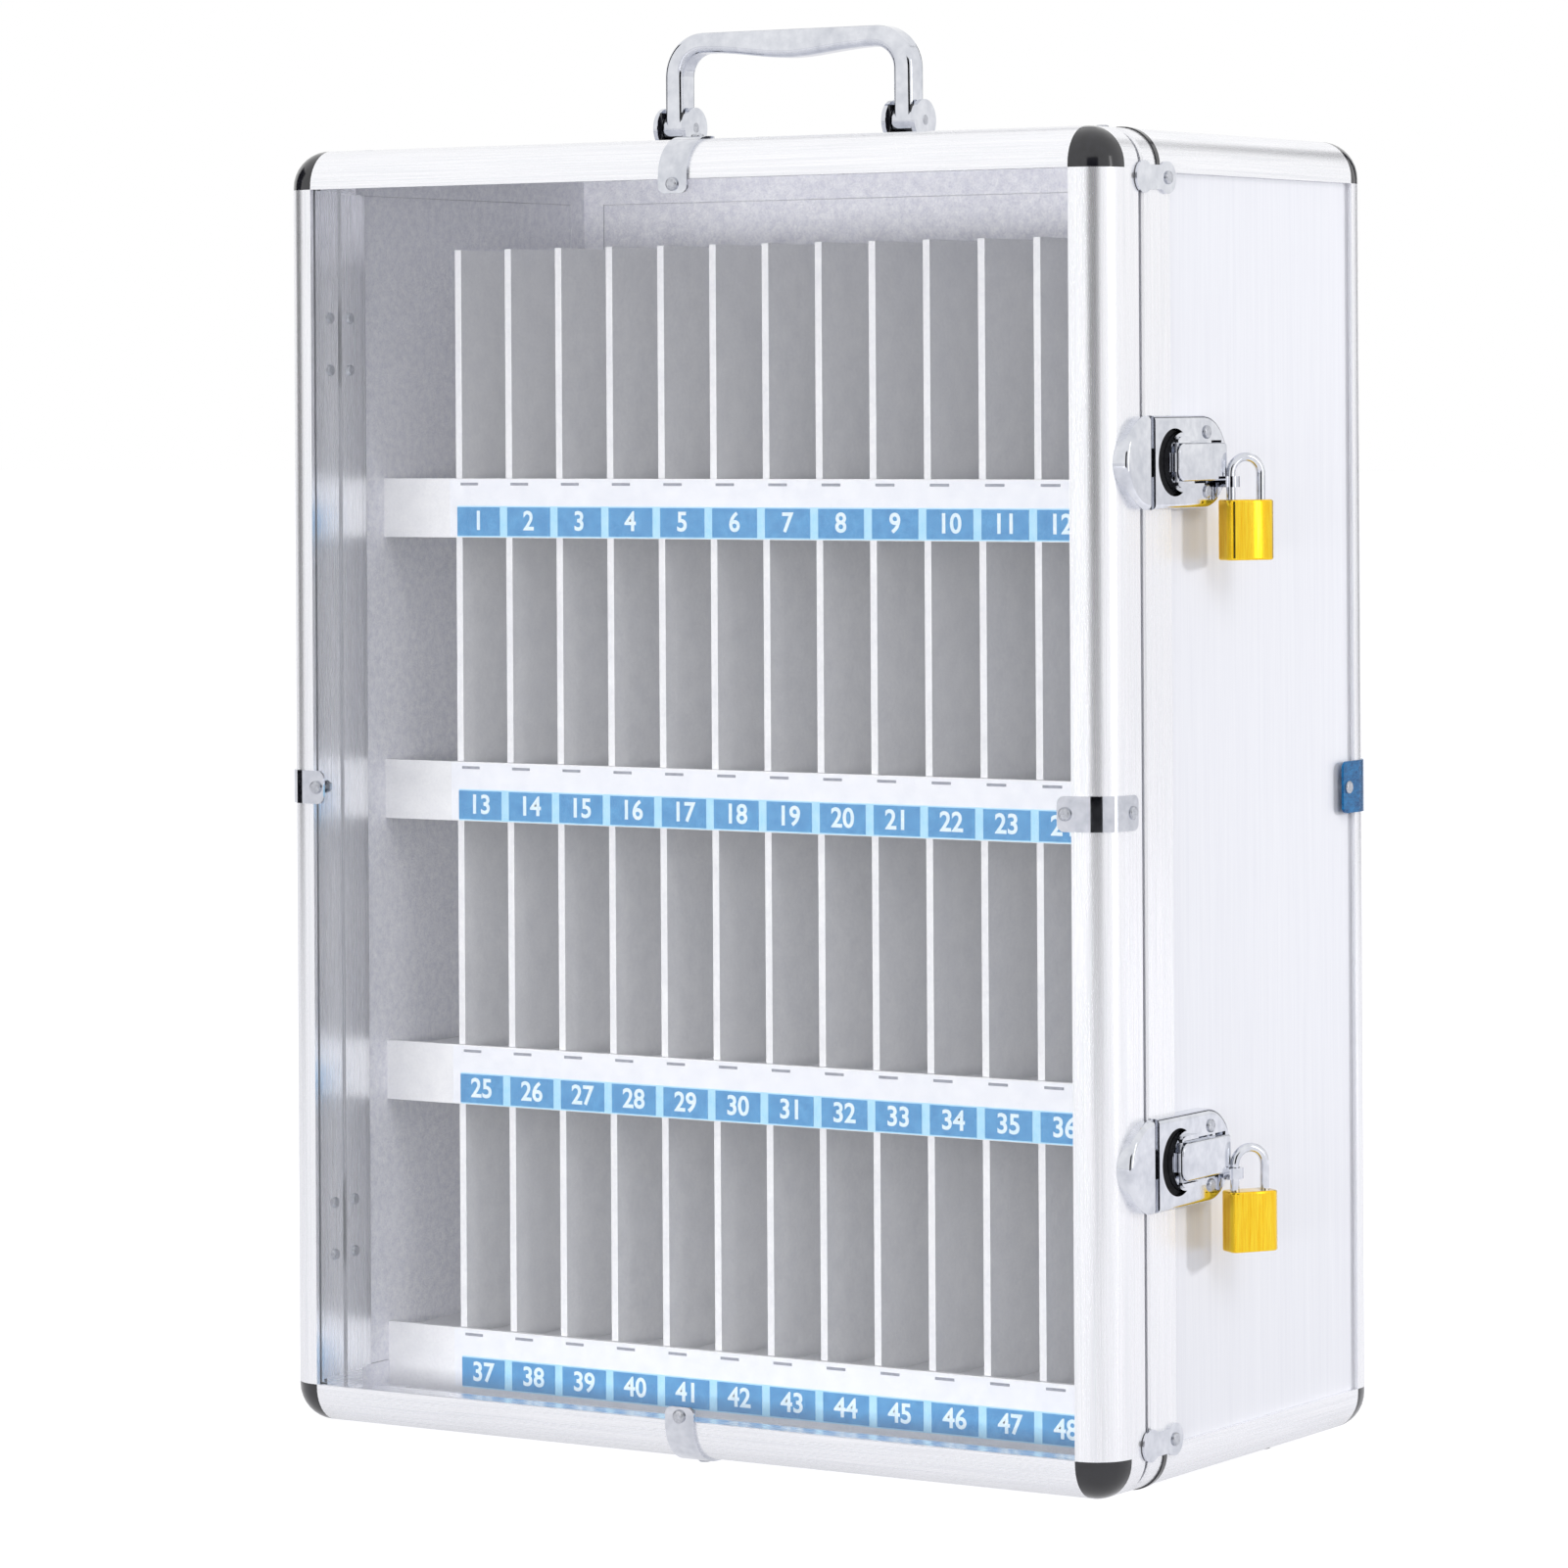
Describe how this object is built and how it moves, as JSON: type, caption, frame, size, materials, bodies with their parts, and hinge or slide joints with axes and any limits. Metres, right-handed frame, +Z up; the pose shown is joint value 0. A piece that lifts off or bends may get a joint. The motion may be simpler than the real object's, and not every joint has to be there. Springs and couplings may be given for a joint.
{
  "type": "phone locker box",
  "caption": "Upright aluminium-edged case with a clear hinged door, numbered phone slots on shelves, two padlocked lever latches and a folding carrying handle.",
  "frame": {"origin": "on the level surface that the feet stand on, under the middle of the case", "axes": "+X to the right as seen from the door, +Y from the door to the back, +Z up"},
  "size_m": [0.3986, 0.2125, 0.548],
  "materials": {
    "frame_aluminium": "satin silver anodised extrusion",
    "silver_laminate": "pale silver laminate on a 3 mm board",
    "clear_sheet": "clear acrylic sheet",
    "black_plastic": "moulded, glossy",
    "chrome": "polished plate",
    "steel_hardware": "zinc-plated",
    "black_steel": "blackened spring steel",
    "brass": "turned and polished",
    "grey_lining": "mottled grey-lilac lining",
    "white_board": "white foamed PVC board",
    "label_paper": "printed strip under clear film",
    "number_tag": "blue printed tag",
    "blue_film": "chrome strap under its blue protective film",
    "foot_rubber": "moulded"
  },
  "bodies": {
    "case": {"side_panel_left": "silver_laminate", "side_panel_right": "silver_laminate", "back_panel": "silver_laminate", "top_panel": "silver_laminate", "bottom_panel": "silver_laminate", "front_post_left": "frame_aluminium", "front_post_right": "frame_aluminium", "front_rail_top": "frame_aluminium", "front_rail_bottom": "frame_aluminium", "rear_post_left": "frame_aluminium", "rear_post_right": "frame_aluminium", "rear_rail_top": "frame_aluminium", "rear_rail_bottom": "frame_aluminium", "side_rails": "frame_aluminium", "front_corners": "frame_aluminium", "front_corner_collars": "black_plastic", "rear_corner_caps": "black_plastic", "corner_brackets": "chrome", "rear_straps": "blue_film", "feet": "foot_rubber", "back_liner": "grey_lining", "liners": "grey_lining", "shelves": "white_board", "dividers_1": "white_board", "dividers_2": "white_board", "dividers_3": "white_board", "dividers_4": "white_board", "label_rails": "white_board", "label_strips": "label_paper", "number_tags": "number_tag", "case_hinge_leaves": "steel_hardware", "hinge_pins": "steel_hardware", "case_rivets": "steel_hardware", "handle_brackets": "chrome", "handle_stops": "black_plastic", "pivot_pins": "steel_hardware", "latch_bases": "chrome", "latch_guides": "black_plastic"},
    "door": {"door_stile_left": "frame_aluminium", "door_stile_right": "frame_aluminium", "door_rail_top": "frame_aluminium", "door_rail_bottom": "frame_aluminium", "door_corner_caps": "black_plastic", "door_corner_sleeves": "frame_aluminium", "door_window": "clear_sheet", "door_straps": "chrome", "door_hinge_leaves": "steel_hardware", "door_fasteners": "steel_hardware", "latch_catches": "chrome"},
    "lever_upper": {"latch_lever_upper": "chrome"},
    "hook_upper": {"draw_hook_upper": "black_steel"},
    "shackle_upper": {"padlock_shackle_upper": "chrome"},
    "padlock_upper": {"padlock_body_upper": "brass"},
    "plug_upper": {"key_plug_upper": "brass"},
    "lever_lower": {"latch_lever_lower": "chrome"},
    "hook_lower": {"draw_hook_lower": "black_steel"},
    "shackle_lower": {"padlock_shackle_lower": "chrome"},
    "padlock_lower": {"padlock_body_lower": "brass"},
    "plug_lower": {"key_plug_lower": "brass"},
    "handle": {"handle_grip": "chrome"}
  },
  "joints": [
    {"name": "door_hinge", "type": "hinge", "parent": "case", "child": "door", "pos_m": [-0.1893, -0.07775, 0.253], "axis": [0, 0, -1], "range_deg": [0, 170]},
    {"name": "handle_fold", "type": "hinge", "parent": "case", "child": "handle", "pos_m": [0, -0.0205, 0.511], "axis": [1, 0, 0], "range_deg": [-85, 85]},
    {"name": "lever_upper_turn", "type": "hinge", "parent": "case", "child": "lever_upper", "pos_m": [0.1923, -0.06155, 0.38], "axis": [0, 0, -1], "range_deg": [0, 100]},
    {"name": "hook_upper_slide", "type": "slide", "parent": "case", "child": "hook_upper", "axis": [0, -1, 0], "range_m": [0, 0.005]},
    {"name": "shackle_upper_turn", "type": "hinge", "parent": "lever_upper", "child": "shackle_upper", "pos_m": [0.195, -0.02545, 0.3725], "axis": [0, 0, -1], "range_deg": [-15, 45]},
    {"name": "padlock_upper_drop", "type": "slide", "parent": "shackle_upper", "child": "padlock_upper", "axis": [0, 0, -1], "range_m": [0, 0.008]},
    {"name": "plug_upper_turn", "type": "hinge", "parent": "padlock_upper", "child": "plug_upper", "pos_m": [0.19843, -0.02017, 0.3433], "axis": [0, 0, 1], "range_deg": [0, 90]},
    {"name": "lever_lower_turn", "type": "hinge", "parent": "case", "child": "lever_lower", "pos_m": [0.1923, -0.06155, 0.1235], "axis": [0, 0, -1], "range_deg": [0, 100]},
    {"name": "hook_lower_slide", "type": "slide", "parent": "case", "child": "hook_lower", "axis": [0, -1, 0], "range_m": [0, 0.005]},
    {"name": "shackle_lower_turn", "type": "hinge", "parent": "lever_lower", "child": "shackle_lower", "pos_m": [0.195, -0.02545, 0.116], "axis": [0, 0, -1], "range_deg": [-15, 45]},
    {"name": "padlock_lower_drop", "type": "slide", "parent": "shackle_lower", "child": "padlock_lower", "axis": [0, 0, -1], "range_m": [0, 0.008]},
    {"name": "plug_lower_turn", "type": "hinge", "parent": "padlock_lower", "child": "plug_lower", "pos_m": [0.19843, -0.02017, 0.0868], "axis": [0, 0, 1], "range_deg": [0, 90]}
  ],
  "couplings": [
    {"joint": "hook_upper_slide", "follows": "lever_upper_turn", "m_per_rad": 0.00286},
    {"joint": "hook_lower_slide", "follows": "lever_lower_turn", "m_per_rad": 0.00286}
  ]
}
